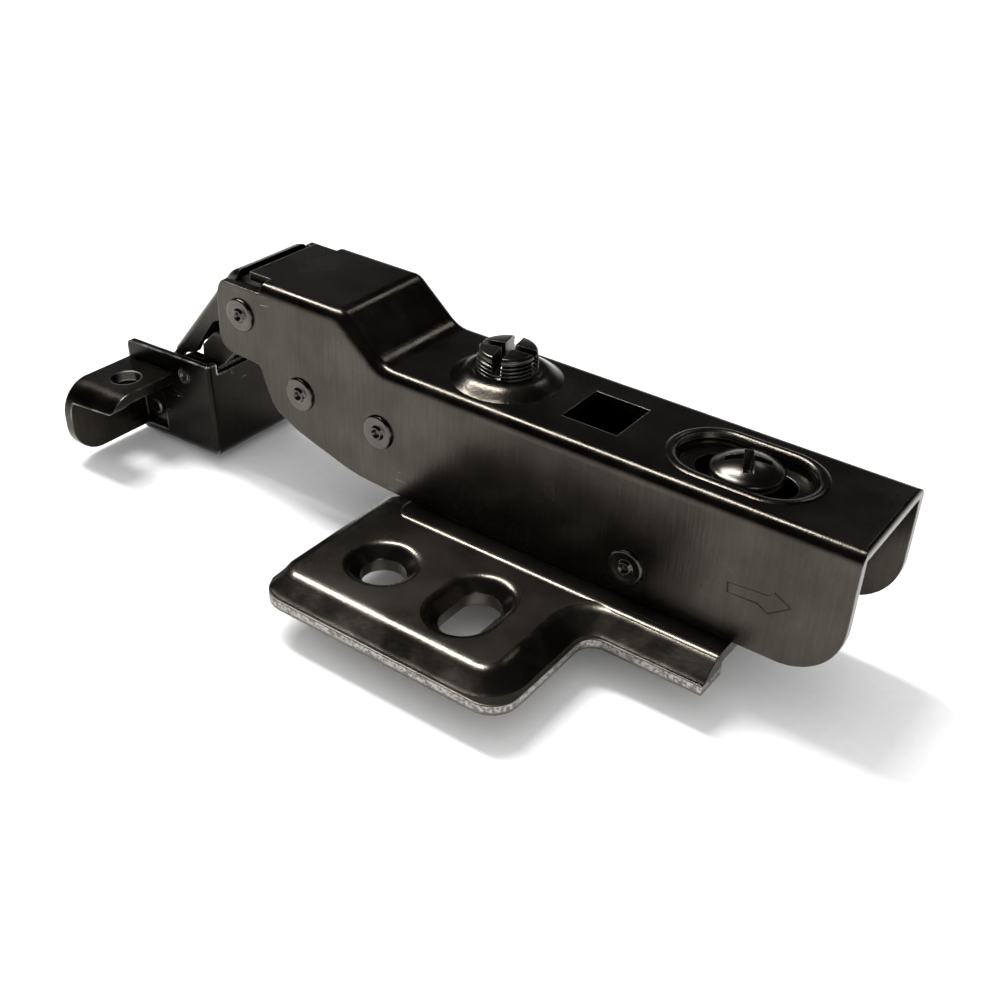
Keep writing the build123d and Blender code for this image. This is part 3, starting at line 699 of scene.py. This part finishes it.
def plate_body(material):
    """The plate's brim, rail and bent-up tabs, without the collars that the raised wings cover."""
    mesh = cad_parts["mounting_plate"].data.copy()
    mesh.name = "plate_body"
    work = bmesh.new()
    work.from_mesh(mesh)
    collars = []
    for face in work.faces:
        middle = face.calc_center_median() / MM
        for x, half_run, _ in HOLES:
            off_line = max(0.0, abs(abs(middle.y) - SCREW_Y) - half_run)
            if middle.z > BRIM + 0.02 and math.hypot(middle.x - x, off_line) < COLLAR_R:
                collars.append(face)
                break
    bmesh.ops.delete(work, geom=collars, context="FACES")
    work.to_mesh(mesh)
    work.free()
    piece = add_piece("plate_body", mesh, "base", material)
    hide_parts("mounting_plate")


# ---------------------------------------------------------------- forms on the arm
def stud_collar(material):
    """Soft drawn-up collar of the arm round the adjusting stud."""
    profile = [(5.45, -0.92), (5.3, -0.84), (5.0, -0.66), (4.6, -0.4), (4.2, -0.17), (3.9, -0.04),
               (3.6, 0.04), (3.4, 0.05), (3.2, -0.03), (3.05, -0.25)]
    points, faces = lathed([(r, BOSS_TOP + h) for r, h in profile], (STUD_X, 0, 0))
    solid("stud_collar", points, faces, "arm", material)


def recess_roll(material):
    """Rolled rim and soft ridges of the sunk seat round the depth screw."""
    section = [(0.95, -0.04), (0.75, 0.06), (0.5, 0.15), (0.25, 0.13), (0.05, -0.02)]
    for share in steps(0.0, 1.0, 24)[1:]:
        depth = 0.06 + (RECESS_DEPTH - 0.08) * share
        wave = 0.05 * math.sin(share * 4 * math.pi)
        section.append((-RECESS_LEAN * depth - 0.06 + wave * (1 - share), -depth))
    path = []
    for centre, start in ((RECESS_X[1] - RECESS_HALF, -90), (RECESS_X[0] + RECESS_HALF, 90)):
        for cx, cy in arc((0, 0), 1.0, start, start + 180, 24):
            path.append((centre, cx, cy))
    points = []
    for centre, cx, cy in path:
        for out, up in section:
            reach = RECESS_HALF + out
            points.append((centre + reach * cx, reach * cy, ARM_TOP + up))
    faces = []
    width = len(section)
    for i in range(len(path)):
        n = (i + 1) % len(path)
        for k in range(width - 1):
            faces.append((i * width + k, n * width + k, n * width + k + 1, i * width + k + 1))
    solid("recess_rolled_rim", points, faces, "arm", material)


def arrow(material):
    """Outline of an arrow engraved in the near wall, pointing to the rear."""
    corners = [(29.8, 8.7), (33.6, 9.0), (34.0, 9.5), (35.6, 8.6),
               (33.7, 7.2), (32.7, 7.8), (29.9, 7.7)]
    half_width = 0.09
    y = -ARM_HALF - 0.012
    ring = [Vector((x, 0, z)) for x, z in corners]
    centre = sum(ring, Vector()) / len(ring)
    points = []
    for shift in (-half_width, half_width):
        for corner in ring:
            spot = corner + (corner - centre).normalized() * shift
            points.append((spot.x, y, spot.z))
    solid("arrow_mark", points, ring_faces(2, len(ring)), "arm", material, smooth=False)


# ---------------------------------------------------------------- build
aim_camera()
paper_floor()
white_world()
soft_lamps()

sheet_plate = plated_steel("nickel_plate", 0.09, 0.12, 0.28, grain=0.5, worn_and_sheen=0.3, soft=0.25, brim=True)
sheet_arm = plated_steel("nickel_arm", 0.05, 0.12, 0.26, lines=0.75, soft=0.15, scratched=0.5)
# the cup's edges are painted much lighter: a painted highlight along its corners as well as wear
sheet_cup = plated_steel("nickel_cup", 0.012, 0.14, 0.27, lines=0.2, worn_and_sheen=0.8, soft=0.2, wear_and_sheen_radius=0.4,
                         scratched=0.5)
bracket_steel = plated_steel("nickel_bracket", 0.038, 0.14, 0.27, lines=0.2, worn_and_sheen=0.45, soft=0.2, wear_and_sheen_radius=0.3)
link_steel = plated_steel("nickel_links", 0.033, 0.12, 0.28, lines=0.2)
rivet_steel = plated_steel("rivet_steel_formed", 0.08, 0.09, 0.25, grain=0.3, worn_and_sheen=0.4, soft=0.06)
screw_steel = plated_steel("screw_steel_turned", 0.06, 0.08, 0.28, grain=0.3, worn_and_sheen=0.6, soft=0.06)
spring_steel = plated_steel("spring_wire_drawn", 0.16, 0.04, 0.3, grain=0.3, lines=0.2, worn_and_sheen=0.3,
                            soft=0.05)
engraving = plated_steel("engraved_line", 0.03, 0.05, 0.5, grain=0.3, worn_and_sheen=0.2, soft=0.03)

NODES_OF = (
    (sheet_plate, ("mounting_plate",)),
    (sheet_arm, ("hinge_arm",)),
    (sheet_cup, ("cup",)),
    (bracket_steel, ("wing_bracket",)),
    (link_steel, ("adapter", "clip_lever", "outer_link", "inner_link")),
    (rivet_steel, ("hook_bar", "clip_lever_pin", "guide_pin", "outer_link_pin", "inner_link_pin",
                   "spring_axle", "cup_inner_pin", "cup_outer_pin")),
    (screw_steel, ("side_screw", "depth_screw")),
    (spring_steel, ("closing_spring_near", "closing_spring_far", "clip_spring")),
)
for steel, node_names in NODES_OF:
    for node_name in node_names:
        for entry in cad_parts[node_name].material_slots:
            entry.material = steel

rivet("guide_pin", GUIDE_PIN, rivet_steel)
rivet("outer_link_pin", OUTER_PIVOT, rivet_steel)
rivet("inner_link_pin", INNER_PIVOT, rivet_steel)
rivet("spring_axle", SPRING_AXLE, rivet_steel)
peened_pin(rivet_steel)
side_stud(screw_steel)
depth_head(screw_steel)
tapped("tap_thread_near", -TAP_Y, screw_steel)
tapped("tap_thread_far", TAP_Y, screw_steel)
wound("closing_coil_near", "closing_spring_near", SPRING_AXLE, mean_r=1.53, wire_r=0.3, y0=-3.8,
      pitch=0.8, body="arm", material=spring_steel, legs=1.4)
wound("closing_coil_far", "closing_spring_far", SPRING_AXLE, mean_r=1.53, wire_r=0.3, y0=1.4,
      pitch=0.8, body="arm", material=spring_steel, legs=1.4)
wound("clip_coil", "clip_spring", LEVER_PIN, mean_r=1.27, wire_r=0.2, y0=-1.0,
      pitch=0.6, body="base", material=spring_steel, legs=0.6)
plate_body(sheet_plate)
raised_wing("wing_near", -1, sheet_plate)
raised_wing("wing_far", 1, sheet_plate)
stud_collar(sheet_arm)
recess_roll(sheet_arm)
arrow(engraving)

bpy.context.scene.view_settings.view_transform = "Standard"
